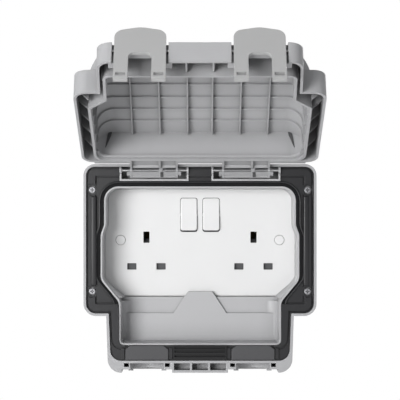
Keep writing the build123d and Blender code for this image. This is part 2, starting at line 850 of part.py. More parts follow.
def side_profile(points):
    """The region behind a front line given in z and depth, drawn square to x."""
    behind = 2.0 - rim
    with BuildSketch() as profile:
        with BuildLine():
            outline_points = [(behind, points[0][0])]
            outline_points += [(-(rim + depth), height) for height, depth in points]
            outline_points += [(behind, points[-1][0])]
            Polyline(*outline_points, close=True)
        make_face()
    return profile.sketch


hood_crease = lid_top - 3.0
hood_line = [
    (top_z + 12.0, skirt_depth_top),
    (hood_crease, skirt_depth_top + 1.0),
    (hood_deep_z, hood_deep),
    (hood_foot, hood_foot_depth),
    (foot_z - 12.0, hood_foot_depth - 10.0),
]


def hood_run(high, low, inset):
    """A bar under one slope of the hood, with its two front corners rounded."""
    slope = (high[1] - low[1]) / (high[0] - low[0])
    start = reach / 2
    depth = high[1] + (start - high[0]) * slope - inset
    length = depth + 60.0
    with BuildPart() as run:
        with BuildSketch(Plane.XY.offset(start)) as section:
            with Locations((0, length / 2 - rim - depth)):
                Rectangle(2 * (hood_half - inset), length)
            fillet(section.vertices().group_by(Axis.Y)[0], hood_roll - inset)
        extrude(amount=reach * hypot(1.0, slope), dir=(0, slope, -1))
    return run.part


def hood_solid(inset, start):
    """The deep hood as a solid block, drawn in by an inset, from a depth behind its front."""
    main_run = hood_run(hood_line[1], hood_line[2], inset)
    foot_run = hood_run(hood_line[2], hood_line[3], inset)
    with BuildPart() as solid:
        with BuildSketch(at(rim + start)):
            add(hood_outline(inset))
        extrude(amount=reach)
        with BuildSketch(across(-reach / 2)):
            add(side_profile([(height, depth - inset) for height, depth in hood_line]))
        extrude(amount=reach, mode=Mode.INTERSECT)
        add(main_run, mode=Mode.INTERSECT)
        add(foot_run, mode=Mode.INTERSECT)
    return solid.part


def skirt_profile(inset=0.0):
    """Front line of the skirt, drawn in by an inset."""
    hinge_end = (lid_top + 10, skirt_depth_top + 0.7 - inset)
    clip_end = (foot_z - 10, skirt_depth_foot - 0.7 - inset)
    return side_profile([hinge_end, clip_end])


clip_plane_z = foot_z + clip_recess
hood_block = hood_solid(0.0, lid_gap)
hood_cavity = hood_solid(hood_wall, -1.0)
hood_core = hood_solid(hood_wall + rib_proud, -1.5)
with BuildPart() as skirt_block:
    with BuildSketch(at(rim + lid_gap)):
        add(housing(top=lid_top, step=lid_step_z))
    extrude(amount=reach)
    with BuildSketch(across(-reach / 2)):
        add(skirt_profile())
    extrude(amount=reach, mode=Mode.INTERSECT)
with BuildPart() as skirt_channel:
    with BuildSketch(at(rim - 1)):
        add(housing(lid_wall, top=lid_top, step=lid_step_z))
    extrude(amount=reach)
    with BuildSketch(across(-reach / 2)):
        add(skirt_profile(lid_wall))
    extrude(amount=reach, mode=Mode.INTERSECT)
    add(hood_block, mode=Mode.SUBTRACT)
    with BuildSketch(at(rim - 1.5)):
        add(hood_outline())
    extrude(amount=reach, mode=Mode.SUBTRACT)
    for side in (-1, 1):
        with BuildSketch(at(rim - 2)):
            with Locations((side * clip_x, foot_z + 3)):
                Rectangle(clip_recess_width + 2 * 2.4, 10)
        extrude(amount=reach, mode=Mode.SUBTRACT)
    # Gussets that tie the skirt to the hood wall and fall away towards the skirt
    for along in gusset_places:
        with BuildSketch(Plane.XY.offset(axis_z - along - gusset_width / 2)):
            for side in (-1, 1):
                with BuildLine():
                    Polyline(
                        (side * (hood_half - 1), -rim - 2.5),
                        (side * box_width / 2, -rim - 12.0),
                        (side * box_width / 2, -rim - reach),
                        (side * (hood_half - 1), -rim - reach),
                        close=True,
                    )
                make_face()
        extrude(amount=gusset_width, mode=Mode.SUBTRACT)
    with BuildSketch(at(rim + 3)):
        for side in (-1, 1):
            with Locations((side * 9.0, foot_z + 8)):
                Rectangle(gusset_width, 18)
    extrude(amount=reach, mode=Mode.SUBTRACT)

rib_places = [-50.0, -29.5, -9.0, 9.0, 29.5, 50.0]
rib_high = lid_top - 3.7
rib_low = hood_foot + 5.0
with BuildPart() as hood_ribs:
    with BuildSketch(at(rim + 8)):
        for along in hoop_places:
            with Locations((0, axis_z - along)):
                Rectangle(box_width, rib_width)
        for rib_x in rib_places:
            with Locations((rib_x, (rib_high + rib_low) / 2)):
                Rectangle(rib_width, rib_high - rib_low)
    extrude(amount=reach)
    add(hood_cavity, mode=Mode.INTERSECT)
    add(hood_core, mode=Mode.SUBTRACT)
with BuildPart() as hinge_bead:
    with BuildSketch(at(rim + bead_drop)):
        add(hood_outline(hood_wall - 0.1))
        add(hood_outline(hood_wall + bead), mode=Mode.SUBTRACT)
        with Locations((0, lid_top)):
            Rectangle(box_width, 26.0, mode=Mode.INTERSECT)
    extrude(amount=1.8)

arm_hollow = arm_width - 2 * arm_wall
with BuildPart() as lid:
    add(skirt_block.part)
    add(hood_block)
    add(hood_cavity, mode=Mode.SUBTRACT)
    add(skirt_channel.part, mode=Mode.SUBTRACT)
    add(hood_ribs.part)
    add(hinge_bead.part)
    # Recesses for the clips, deeper towards the front so that the finger can be pressed in
    for side in (-1, 1):
        with BuildSketch(across(side * clip_x - clip_recess_width / 2)):
            with BuildLine():
                Polyline(
                    (-rim, clip_plane_z),
                    (-rim - clip_pivot_depth, clip_plane_z),
                    (-rim - clip_pivot_depth - 50, clip_plane_z + 50 * sin(radians(15))),
                    (-rim - clip_pivot_depth - 50, foot_z - 20),
                    (-rim, foot_z - 20),
                    close=True,
                )
            make_face()
            with Locations((-rim - clip_pivot_depth, clip_pivot_z)):
                Circle(clip_hub_radius + 0.3)
        extrude(amount=clip_recess_width, mode=Mode.SUBTRACT)
        with BuildSketch(across(side * clip_x - clip_recess_width / 2 - 1.8)):
            with Locations((-rim - clip_pivot_depth, clip_pivot_z)):
                Circle(clip_pin_radius)
        extrude(amount=clip_recess_width + 3.6, mode=Mode.SUBTRACT)
        # Notch behind the arch of the clip
        with BuildSketch(at(rim - 1)):
            with Locations((side * clip_x, foot_z)):
                Rectangle(clip_arch_width + 0.8, 2 * (clip_recess + 6.2))
        extrude(amount=9.0, mode=Mode.SUBTRACT)
        # Hinge arms: a pocket in the lid's edge, a web across it, two side plates and a partition
        with BuildSketch(at(rim - 1)):
            with Locations((side * pocket_x, lid_top)):
                Rectangle(arm_hollow, 2 * lid_wall)
        extrude(amount=1 + bead_drop, mode=Mode.SUBTRACT)
        with BuildSketch(across(side * pocket_x - arm_width / 2)):
            with BuildLine():
                Polyline(
                    (-rim - bead_drop, lid_top - lid_wall),
                    (-rim - bead_drop, axis_z - 3.3),
                    (-rim - 1.0, axis_z - 1.9),
                    (-rim - 1.9, axis_z - 1.5),
                    (-rim - 3.6, axis_z - 2.6),
                    (-rim - 4.2, axis_z - 3.4),
                    (-rim - 4.2, lid_top - lid_wall),
                    close=True,
                )
            make_face()
        extrude(amount=arm_width)
        for arm_x in (-arm_width / 2 + arm_wall / 2, arm_partition, arm_width / 2 - arm_wall / 2):
            with BuildSketch(across(side * pocket_x + arm_x - arm_wall / 2)):
                with BuildLine():
                    Polyline(
                        (-rim - 0.6, axis_z - 2.0),
                        (-rim - 0.6, lid_top - 1.9),
                        (-rim - 9.5, lid_top - 1.9),
                        (-rim - 8.0, lid_top + 4.0),
                        (-rim - 2.0, axis_z - 1.2),
                        close=True,
                    )
                make_face()
                with Locations((-rim, axis_z)):
                    Circle(arm_barrel_radius)
                with Locations((-rim + arm_foot / 2, axis_z)):
                    Rectangle(arm_foot, 2.6)
            extrude(amount=arm_wall)
        with BuildSketch(across(side * pocket_x - arm_width / 2)):
            with Locations((-rim + (arm_foot + 1.6) / 2, axis_z)):
                Rectangle(arm_foot - 1.6, 1.6)
        extrude(amount=arm_width)
        with BuildSketch(across(side * pocket_x - arm_width / 2 - arm_nub)):
            with Locations((-rim + 3.0, axis_z)):
                Rectangle(2.8, 2.4)
        extrude(amount=arm_width + 2 * arm_nub)
        with BuildSketch(across(side * pocket_x - arm_width / 2 - arm_nub - 1)):
            with Locations((-rim, axis_z)):
                Circle(pin_radius + pin_clearance)
        extrude(amount=arm_width + 2 * arm_nub + 2, mode=Mode.SUBTRACT)
finish(lid.part.rotate(hinge_axis, -lid_angle), "lid")

clip_axis = Axis((0, -rim - clip_pivot_depth, clip_pivot_z), (1, 0, 0))
for side, name in ((-1, "left"), (1, "right")):
    with BuildPart() as lid_clip:
        with BuildSketch(Plane.XY.offset(clip_inner - clip_thick)) as clip_face:
            with BuildLine():
                Polyline(
                    (side * clip_x - clip_width / 2, -rim + clip_leg),
                    (side * clip_x + clip_width / 2, -rim + clip_leg),
                    (side * clip_x + clip_width / 2, -rim - clip_finger + clip_crown),
                    (side * clip_x, -rim - clip_finger),
                    (side * clip_x - clip_width / 2, -rim - clip_finger + clip_crown),
                    close=True,
                )
            make_face()
            fillet(clip_face.vertices().group_by(Axis.Y)[1], clip_shoulder)
            fillet(clip_face.vertices().group_by(Axis.Y)[0], 20.0)
            arch_length = clip_arch_top + clip_leg + 8.0
            with Locations((side * clip_x, -rim - clip_arch_top + arch_length / 2)):
                RectangleRounded(clip_arch_width, arch_length, clip_arch_corner, mode=Mode.SUBTRACT)
        extrude(amount=clip_thick)
        with BuildSketch(across(side * clip_x - clip_width / 2)):
            with Locations((-rim - clip_pivot_depth, clip_pivot_z)):
                Circle(clip_hub_radius)
        extrude(amount=clip_width)
        with BuildSketch(Plane.XY.offset(clip_inner - reach)):
            with Locations((side * clip_x, clip_slot_depth - rim)):
                with GridLocations(clip_slot_spacing, 1, 2, 1):
                    Rectangle(clip_slot_width, clip_slot_height)
        extrude(amount=2 * reach, mode=Mode.SUBTRACT)
        with BuildSketch(across(side * clip_x - clip_width / 2 - 1)):
            with Locations((-rim - clip_pivot_depth, clip_pivot_z)):
                Circle(clip_pin_radius + pin_clearance)
        extrude(amount=clip_width + 2, mode=Mode.SUBTRACT)
    swung = lid_clip.part.rotate(clip_axis, -clip_swing)
    finish(swung.rotate(hinge_axis, -lid_angle), f"lid_clip_{name}")
    with BuildPart() as clip_pin:
        with BuildSketch(across(side * clip_x - clip_recess_width / 2 - 1.8)):
            with Locations((-rim - clip_pivot_depth, clip_pivot_z)):
                Circle(clip_pin_radius)
        extrude(amount=clip_recess_width + 3.6)
    finish(clip_pin.part.rotate(hinge_axis, -lid_angle), f"clip_pin_{name}")
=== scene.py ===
import bpy
import json
import math
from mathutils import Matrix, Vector


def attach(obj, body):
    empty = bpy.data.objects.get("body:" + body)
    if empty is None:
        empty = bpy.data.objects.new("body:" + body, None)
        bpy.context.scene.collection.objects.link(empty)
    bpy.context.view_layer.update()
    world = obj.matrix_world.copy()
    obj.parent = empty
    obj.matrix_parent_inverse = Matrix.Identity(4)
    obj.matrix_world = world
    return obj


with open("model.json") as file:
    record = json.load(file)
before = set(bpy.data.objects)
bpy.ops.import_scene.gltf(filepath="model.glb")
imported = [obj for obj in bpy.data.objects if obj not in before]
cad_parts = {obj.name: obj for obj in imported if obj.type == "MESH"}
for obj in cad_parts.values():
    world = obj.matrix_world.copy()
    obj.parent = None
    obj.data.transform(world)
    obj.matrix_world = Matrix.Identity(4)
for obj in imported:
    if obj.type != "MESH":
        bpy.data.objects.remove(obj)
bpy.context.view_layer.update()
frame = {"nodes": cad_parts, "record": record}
nodes = frame["nodes"]
scene = bpy.context.scene

MM = 0.001
UP = (0.0, 0.0, 1.0)
ORIGIN = (0.0, 0.0, 0.0)
WHITE = (1.0, 1.0, 1.0, 1.0)

# The camera stands straight in front, level with the upper part of the plate.
# The photograph shows about 1.344 pixels per mm at the box rim, 1.14 m from the lens.
IMAGE_PIXELS = 400
RIM_Y = -0.056
LENS_DISTANCE = 1.14
CAMERA_Z = 0.0509
PIXELS_PER_METRE = 1344.0
SENSOR = 36.0
FARTHEST_SEEN = 20.0

# Each lamp: its name, its place, the point that it looks at, its width in metres and its power in watts
LAMPS = (
    ("key", (-0.9, -1.55, -0.05), (0.0, -0.08, 0.03), 0.9, 37.0),
    ("fill", (0.1, -1.35, -0.75), (0.0, -0.1, 0.06), 0.8, 17.0),
    ("rear", (0.7, 1.7, 0.9), (0.0, 0.0, 0.03), 1.0, 14.0),
)
SURROUND_COLOUR = (0.98, 0.99, 1.0, 1.0)
SURROUND_STRENGTH = 0.34

# The floor, and the share of white in it at two distances from the middle of the object
FLOOR_SIZE = 6.0
FLOOR_PLACE = (0.0, 1.0, -0.2)
FLOOR_COLOUR = (0.9, 0.9, 0.9, 1.0)
FLOOR_ROUGHNESS = 0.9
RUN_OUT_NEAR, RUN_OUT_FAR = 0.2, 0.7
WHITE_NEAR, WHITE_FAR = 0.6, 1.0


def place_camera():
    """Camera at the photograph's angle and framing."""
    camera_data = bpy.data.cameras.new("camera")
    camera = bpy.data.objects.new("camera", camera_data)
    scene.collection.objects.link(camera)
    camera.location = (0.0, RIM_Y - LENS_DISTANCE, CAMERA_Z)
    camera.rotation_euler = (math.radians(90.0), 0.0, 0.0)
    camera_data.sensor_width = SENSOR
    camera_data.lens = SENSOR * LENS_DISTANCE * PIXELS_PER_METRE / IMAGE_PIXELS
    camera_data.clip_end = FARTHEST_SEEN
    scene.camera = camera


def soft_light(name, location, aim, size, power):
    """Large square lamp that looks at a point."""
    data = bpy.data.lights.new(name, "AREA")
    data.shape = "SQUARE"
    data.size = size
    data.energy = power
    lamp = bpy.data.objects.new(name, data)
    scene.collection.objects.link(lamp)
    lamp.location = location
    lamp.rotation_euler = (Vector(aim) - Vector(location)).to_track_quat("-Z", "Y").to_euler()


def light_studio():
    """Key well out to the left, a weaker lamp low in front, one behind and an even surround."""
    for lamp in LAMPS:
        soft_light(*lamp)
    world = bpy.data.worlds.new("studio")
    scene.world = world
    world.use_nodes = True
    tree = world.node_tree
    tree.nodes.clear()
    output = tree.nodes.new("ShaderNodeOutputWorld")
    surround = tree.nodes.new("ShaderNodeBackground")
    surround.inputs["Color"].default_value = SURROUND_COLOUR
    surround.inputs["Strength"].default_value = SURROUND_STRENGTH
    seen = tree.nodes.new("ShaderNodeBackground")
    seen.inputs["Color"].default_value = WHITE
    seen.inputs["Strength"].default_value = 1.0
    path = tree.nodes.new("ShaderNodeLightPath")
    mix = tree.nodes.new("ShaderNodeMixShader")
    tree.links.new(path.outputs["Is Camera Ray"], mix.inputs[0])
    tree.links.new(surround.outputs[0], mix.inputs[1])
    tree.links.new(seen.outputs[0], mix.inputs[2])
    tree.links.new(mix.outputs[0], output.inputs[0])


def make_stage():
    """Pale floor below the object that runs out into the white surround with distance."""
    bpy.ops.mesh.primitive_plane_add(size=FLOOR_SIZE, location=FLOOR_PLACE)
    floor = bpy.context.object
    floor.name = "floor"
    material = bpy.data.materials.new("pale_floor")
    material.use_nodes = True
    tree = material.node_tree
    shader = tree.nodes["Principled BSDF"]
    shader.inputs["Base Color"].default_value = FLOOR_COLOUR
    shader.inputs["Roughness"].default_value = FLOOR_ROUGHNESS
    glow = tree.nodes.new("ShaderNodeEmission")
    glow.inputs["Color"].default_value = WHITE
    glow.inputs["Strength"].default_value = 1.0
    place = tree.nodes.new("ShaderNodeNewGeometry")
    reach = tree.nodes.new("ShaderNodeVectorMath")
    reach.operation = "LENGTH"
    run_out = tree.nodes.new("ShaderNodeMapRange")
    run_out.inputs["From Min"].default_value = RUN_OUT_NEAR
    run_out.inputs["From Max"].default_value = RUN_OUT_FAR
    run_out.inputs["To Min"].default_value = WHITE_NEAR
    run_out.inputs["To Max"].default_value = WHITE_FAR
    path = tree.nodes.new("ShaderNodeLightPath")
    seen = tree.nodes.new("ShaderNodeMath")
    seen.operation = "MAXIMUM"
    share = tree.nodes.new("ShaderNodeMath")
    share.operation = "MULTIPLY"
    mix = tree.nodes.new("ShaderNodeMixShader")
    tree.links.new(place.outputs["Position"], reach.inputs[0])
    tree.links.new(reach.outputs["Value"], run_out.inputs["Value"])
    tree.links.new(path.outputs["Is Camera Ray"], seen.inputs[0])
    tree.links.new(path.outputs["Is Glossy Ray"], seen.inputs[1])
    tree.links.new(seen.outputs[0], share.inputs[0])
    tree.links.new(run_out.outputs["Result"], share.inputs[1])
    tree.links.new(share.outputs[0], mix.inputs[0])
    tree.links.new(shader.outputs[0], mix.inputs[1])
    tree.links.new(glow.outputs[0], mix.inputs[2])
    tree.links.new(mix.outputs[0], tree.nodes["Material Output"].inputs["Surface"])
    floor.data.materials.append(material)


# The sockets of the moulded surface group
COLOUR, NUMBER, VECTOR = "NodeSocketColor", "NodeSocketFloat", "NodeSocketVector"
SURFACE_INPUTS = (("Colour", COLOUR), ("Mottle", NUMBER), ("Roughness", NUMBER),
                  ("Grain Depth", NUMBER), ("Edge Light", NUMBER), ("Painted Corner Shade", NUMBER))
SURFACE_OUTPUTS = (("Colour", COLOUR), ("Roughness", NUMBER), ("Normal", VECTOR))

# What all moulded surfaces share: mottle, grain, softened edges with painted highlight, painted corner
# shade, coat
MOTTLE_SCALE = 28.0
MOTTLE_DETAIL = 4.0
GLOSS_SWING = 0.12
GRAIN_SCALE = 900.0
GRAIN_DETAIL = 2.0
GRAIN_HEIGHT = 0.2 * MM
EDGE_RADIUS = 0.4 * MM
EDGE_SAMPLES = 4
PAINTED_SHADE_REACH = 15.0 * MM
PAINTED_SHADE_SAMPLES = 6
COAT_ROUGHNESS = 0.2


def build_moulded_surface():
    """Node group for moulded plastic: mottled colour, uneven gloss, fine grain, softened edges with a
    painted highlight, and painted shade in corners.
    """
    group = bpy.data.node_groups.new("moulded_surface", "ShaderNodeTree")
    for name, kind in SURFACE_INPUTS:
        group.interface.new_socket(name=name, in_out="INPUT", socket_type=kind)
    for name, kind in SURFACE_OUTPUTS:
        group.interface.new_socket(name=name, in_out="OUTPUT", socket_type=kind)
    new = group.nodes.new
    link = group.links.new

    def math_node(operation, first, second):
        """Math node on two numbers or sockets, and its output."""
        node = new("ShaderNodeMath")
        node.operation = operation
        for socket, value in zip(node.inputs, (first, second)):
            if isinstance(value, float):
                socket.default_value = value
            else:
                link(value, socket)
        return node.outputs[0]

    source = new("NodeGroupInput")
    target = new("NodeGroupOutput")
    place = new("ShaderNodeTexCoord")

    # Colour: mottled, with a painted highlight on the edges and painted shade in closed corners
    cloud = new("ShaderNodeTexNoise")
    cloud.inputs["Scale"].default_value = MOTTLE_SCALE
    cloud.inputs["Detail"].default_value = MOTTLE_DETAIL
    link(place.outputs["Object"], cloud.inputs["Vector"])
    swing = math_node("SUBTRACT", cloud.outputs["Fac"], 0.5)
    mottle = math_node("MULTIPLY", swing, source.outputs["Mottle"])
    round_edge = new("ShaderNodeBevel")
    round_edge.samples = EDGE_SAMPLES
    round_edge.inputs["Radius"].default_value = EDGE_RADIUS
    geometry = new("ShaderNodeNewGeometry")
    # Painted highlight: the colour is lifted where the softened edge's normal turns away from the face
    across = new("ShaderNodeVectorMath")
    across.operation = "DOT_PRODUCT"
    link(round_edge.outputs["Normal"], across.inputs[0])
    link(geometry.outputs["Normal"], across.inputs[1])
    turned = math_node("SUBTRACT", 1.0, across.outputs["Value"])
    edge = math_node("MULTIPLY", turned, source.outputs["Edge Light"])
    # Painted shade: the colour is darkened where ambient occlusion finds the corner closed in
    openness = new("ShaderNodeAmbientOcclusion")
    openness.samples = PAINTED_SHADE_SAMPLES
    openness.inputs["Distance"].default_value = PAINTED_SHADE_REACH
    closed = math_node("SUBTRACT", 1.0, openness.outputs["AO"])
    shaded = math_node("MULTIPLY", closed, source.outputs["Painted Corner Shade"])
    open_share = math_node("SUBTRACT", 1.0, shaded)
    lift = math_node("ADD", math_node("ADD", mottle, edge), open_share)
    tint = new("ShaderNodeVectorMath")
    tint.operation = "SCALE"
    link(source.outputs["Colour"], tint.inputs[0])
    link(lift, tint.inputs["Scale"])
    link(tint.outputs["Vector"], target.inputs["Colour"])

    # Gloss: a little uneven, with the same clouds as the mottle
    rough_swing = math_node("MULTIPLY", swing, GLOSS_SWING)
    link(math_node("ADD", source.outputs["Roughness"], rough_swing), target.inputs["Roughness"])

    # Normal: fine grain on softened edges
    grain = new("ShaderNodeTexNoise")
    grain.inputs["Scale"].default_value = GRAIN_SCALE
    grain.inputs["Detail"].default_value = GRAIN_DETAIL
    link(place.outputs["Object"], grain.inputs["Vector"])
    bump = new("ShaderNodeBump")
    bump.inputs["Distance"].default_value = GRAIN_HEIGHT
    link(source.outputs["Grain Depth"], bump.inputs["Strength"])
    link(grain.outputs["Fac"], bump.inputs["Height"])
    link(round_edge.outputs["Normal"], bump.inputs["Normal"])
    link(bump.outputs["Normal"], target.inputs["Normal"])
    return group


moulded_surface = build_moulded_surface()


def moulded(name, colour, roughness, grain=0.1, mottle=0.05, edge=0.15, metallic=0.0, coat=0.0,
            specular=0.5, painted_corner_shade=0.4):
    """Material whose surface comes from the moulded surface group."""
    material = bpy.data.materials.new(name)
    material.use_nodes = True
    tree = material.node_tree
    shader = tree.nodes["Principled BSDF"]
    surface = tree.nodes.new("ShaderNodeGroup")
    surface.node_tree = moulded_surface
    surface.inputs["Colour"].default_value = (*colour, 1.0)
    surface.inputs["Mottle"].default_value = mottle
    surface.inputs["Roughness"].default_value = roughness
    surface.inputs["Grain Depth"].default_value = grain
    surface.inputs["Edge Light"].default_value = edge
    surface.inputs["Painted Corner Shade"].default_value = painted_corner_shade
    tree.links.new(surface.outputs["Colour"], shader.inputs["Base Color"])
    tree.links.new(surface.outputs["Roughness"], shader.inputs["Roughness"])
    tree.links.new(surface.outputs["Normal"], shader.inputs["Normal"])
    shader.inputs["Metallic"].default_value = metallic
    shader.inputs["Coat Weight"].default_value = coat
    shader.inputs["Coat Roughness"].default_value = COAT_ROUGHNESS
    shader.inputs["Specular IOR Level"].default_value = specular
    return material


# Every finish of the outlet: its colour, its roughness and what sets it apart, such as how much painted
# edge highlight and painted corner shade it gets
finishes = {
    "box_grey": moulded("box_grey_moulding", (0.4, 0.4, 0.41), 0.5, grain=0.12, edge=0.05),
    "frame_grey": moulded("frame_grey_moulding", (0.47, 0.47, 0.48), 0.42, grain=0.06),
    "lid_grey": moulded("lid_grey_moulding", (0.455, 0.455, 0.465), 0.48, grain=0.1, painted_corner_shade=0.55),
    "clip_grey": moulded("clip_grey_moulding", (0.46, 0.46, 0.46), 0.42, grain=0.06),
    "seal_black": moulded("seal_black_rubber", (0.018, 0.018, 0.02), 0.36, grain=0.2, edge=2.5,
                          specular=0.4),
    # Black rubber darkened further as painted shadow in the channel beside the tray
    "channel_painted_shadow": moulded("channel_rubber_painted_shadow", (0.006, 0.006, 0.007), 0.7, grain=0.2,
                             specular=0.2),
    # Dark sheets painted as the shadow inside small slots that are not cut
    "slot_shade": moulded("slot_painted_shadow", (0.1, 0.1, 0.102), 0.8, specular=0.1, painted_corner_shade=0.2),
    "flap_rubber": moulded("flap_rubber_moulding", (0.06, 0.06, 0.064), 0.55, grain=0.2, edge=0.6),
    "strip_rubber": moulded("strip_black_rubber", (0.009, 0.009, 0.01), 0.5, grain=0.2, edge=1.5,
                            specular=0.3),
    "plate_white": moulded("plate_white_gloss", (0.8, 0.8, 0.8), 0.24, grain=0.02, mottle=0.01,
                           coat=0.2, painted_corner_shade=0.1),
    "rocker_white": moulded("rocker_white_gloss", (0.82, 0.82, 0.82), 0.22, grain=0.02, mottle=0.01,
                            coat=0.2, painted_corner_shade=0.1),
    "base_moulding": moulded("base_black_moulding", (0.03, 0.03, 0.032), 0.5),
    # Brass darkened as painted shade, so the contacts stay dark deep in their holes and in the rocker
    # gaps
    "contact_brass": moulded("contact_brass_strip", (0.3, 0.21, 0.09), 0.55, grain=0.05,
                             metallic=1.0, painted_corner_shade=0.9),
    "screw_steel": moulded("screw_bright_zinc", (0.33, 0.33, 0.345), 0.42, grain=0.05,
                           metallic=1.0, painted_corner_shade=1.0),
    "pin_steel": moulded("pin_drawn_steel", (0.6, 0.6, 0.61), 0.3, grain=0.05, metallic=1.0),
    "spring_steel": moulded("spring_drawn_steel", (0.6, 0.6, 0.61), 0.3, grain=0.05, metallic=1.0),
    "shutter_grey": moulded("shutter_dark_moulding", (0.085, 0.085, 0.09), 0.45),
}


# Nodes whose finish differs from the rest of their slot
node_finishes = {"centre_seal_strip": "strip_rubber"}


def dress_nodes():
    """Give each carried over solid the finish of its slot."""
    slots = {row["node"]: row["material_slot"] for row in frame["record"]["subparts"]}
    for name, piece in nodes.items():
        piece.material_slots[0].material = finishes[node_finishes.get(name, slots[name])]


# The lid turns about this axis, and stands open at rest
HINGE = Vector((0.0, RIM_Y, 73.0 * MM))
LID_ANGLE = math.radians(117.0)

# Edges sharper than these are rounded, or keep their crease in the shading, and flatter ones dissolve
ROUNDED_ANGLE = math.radians(30.0)
SMOOTH_ANGLE = math.radians(35.0)
FLAT_ANGLE = math.radians(0.5)


def deselect_all():
    """Leave nothing selected and no piece active."""
    bpy.ops.object.select_all(action="DESELECT")
    bpy.context.view_layer.objects.active = None


def work_on(piece):
    """Make a piece the only one that operators act on."""
    deselect_all()
    piece.select_set(True)
    bpy.context.view_layer.objects.active = piece


def block(name, low, high):
    """Cube primitive between two corners, its place in its mesh, left in edit mode."""
    deselect_all()
    low, high = Vector(low), Vector(high)
    bpy.ops.mesh.primitive_cube_add(size=1.0, location=(low + high) / 2, scale=high - low)
    piece = bpy.context.object
    piece.name = name
    bpy.ops.object.transform_apply(location=True, rotation=True, scale=True)
    bpy.ops.object.mode_set(mode="EDIT")
    return piece


def pick(piece, chosen):
    """Select the vertices that a test on their place chooses."""
    bpy.ops.mesh.select_mode(type="VERT")
    bpy.ops.mesh.select_all(action="DESELECT")
    bpy.ops.object.mode_set(mode="OBJECT")
    for vertex in piece.data.vertices:
        vertex.select = bool(chosen(vertex.co))
    bpy.ops.object.mode_set(mode="EDIT")


def cut_at(height):
    """Cut the whole piece at a height."""
    bpy.ops.mesh.select_all(action="SELECT")
    bpy.ops.mesh.bisect(plane_co=(0.0, 0.0, height), plane_no=UP)


def open_with_lid():
    """Turn the whole piece from the closed lid to the open one."""
    bpy.ops.mesh.select_all(action="SELECT")
    bpy.ops.transform.rotate(value=LID_ANGLE, orient_axis="X", center_override=HINGE)


def soften(piece, rounding, steps=2):
    """Leave edit mode, round the sharp edges of the piece with a bevel, and apply it."""
    bpy.ops.object.mode_set(mode="OBJECT")
    bevel = piece.modifiers.new("rounding", "BEVEL")
    bevel.width = rounding
    bevel.segments = steps
    bevel.limit_method = "ANGLE"
    bevel.angle_limit = ROUNDED_ANGLE
    work_on(piece)
    bpy.ops.object.modifier_apply(modifier=bevel.name)
    bpy.ops.object.shade_smooth_by_angle(angle=SMOOTH_ANGLE)


def own_copy(piece, name):
    """Copy of a piece with its own mesh, left in edit mode with all of it selected."""
    work_on(piece)
    bpy.ops.object.duplicate(linked=False)
    twin = bpy.context.object
    twin.name = name
    bpy.ops.object.mode_set(mode="EDIT")
    bpy.ops.mesh.select_all(action="SELECT")
    return twin


def shifted_copy(piece, name, shift):
    """Copy of a piece, moved along x."""
    twin = own_copy(piece, name)
    bpy.ops.transform.translate(value=(shift, 0.0, 0.0))
    bpy.ops.object.mode_set(mode="OBJECT")
    return twin


def mirrored_copy(piece, name):
    """Copy of a piece, mirrored to the other side of the outlet."""
    twin = own_copy(piece, name)
    bpy.ops.transform.resize(value=(-1.0, 1.0, 1.0), center_override=ORIGIN)
    bpy.ops.mesh.normals_make_consistent(inside=False)
    bpy.ops.object.mode_set(mode="OBJECT")
    return twin


def finish_piece(piece, finish, body):
    """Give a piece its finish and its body."""
    piece.data.materials.append(finishes[finish])
    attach(piece, body)


# The tray opening as the front frame has it: half widths, heights and corner lengths
TRAY_UPPER_HALF = 70.2 * MM
TRAY_WIDE_HALF = 72.8 * MM
TRAY_LOWER_HALF = 59.2 * MM
TRAY_TOP = 59.8 * MM
FLARE_HIGH = 32.0 * MM
FLARE_LOW = 25.0 * MM
WAIST_HIGH = -8.0 * MM
WAIST_LOW = -24.5 * MM
TRAY_FOOT = -55.9 * MM
TRAY_TOP_CORNER = 9.5 * MM
FLARE_CORNER = 1.6 * MM
WAIST_CORNER = 3.0 * MM
CORNER_STEPS = 6
TRAY_WALL = 1.2 * MM

# The two rings on the seal: how far they reach outside the opening, how proud of the seal's floor they
# stand, how deep they are seated in it, and how far above the foot of the tray they end
SEAL_FLOOR_Y = -54.4 * MM
CHANNEL_OUTER = 3.8 * MM
CHANNEL_PROUD = 0.25 * MM
LIP_OUTER = 5.2 * MM
LIP_PROUD = 1.1 * MM
RING_SEATED = 0.2 * MM
RING_END = 2.0 * MM
SAME_HEIGHT = 0.05 * MM


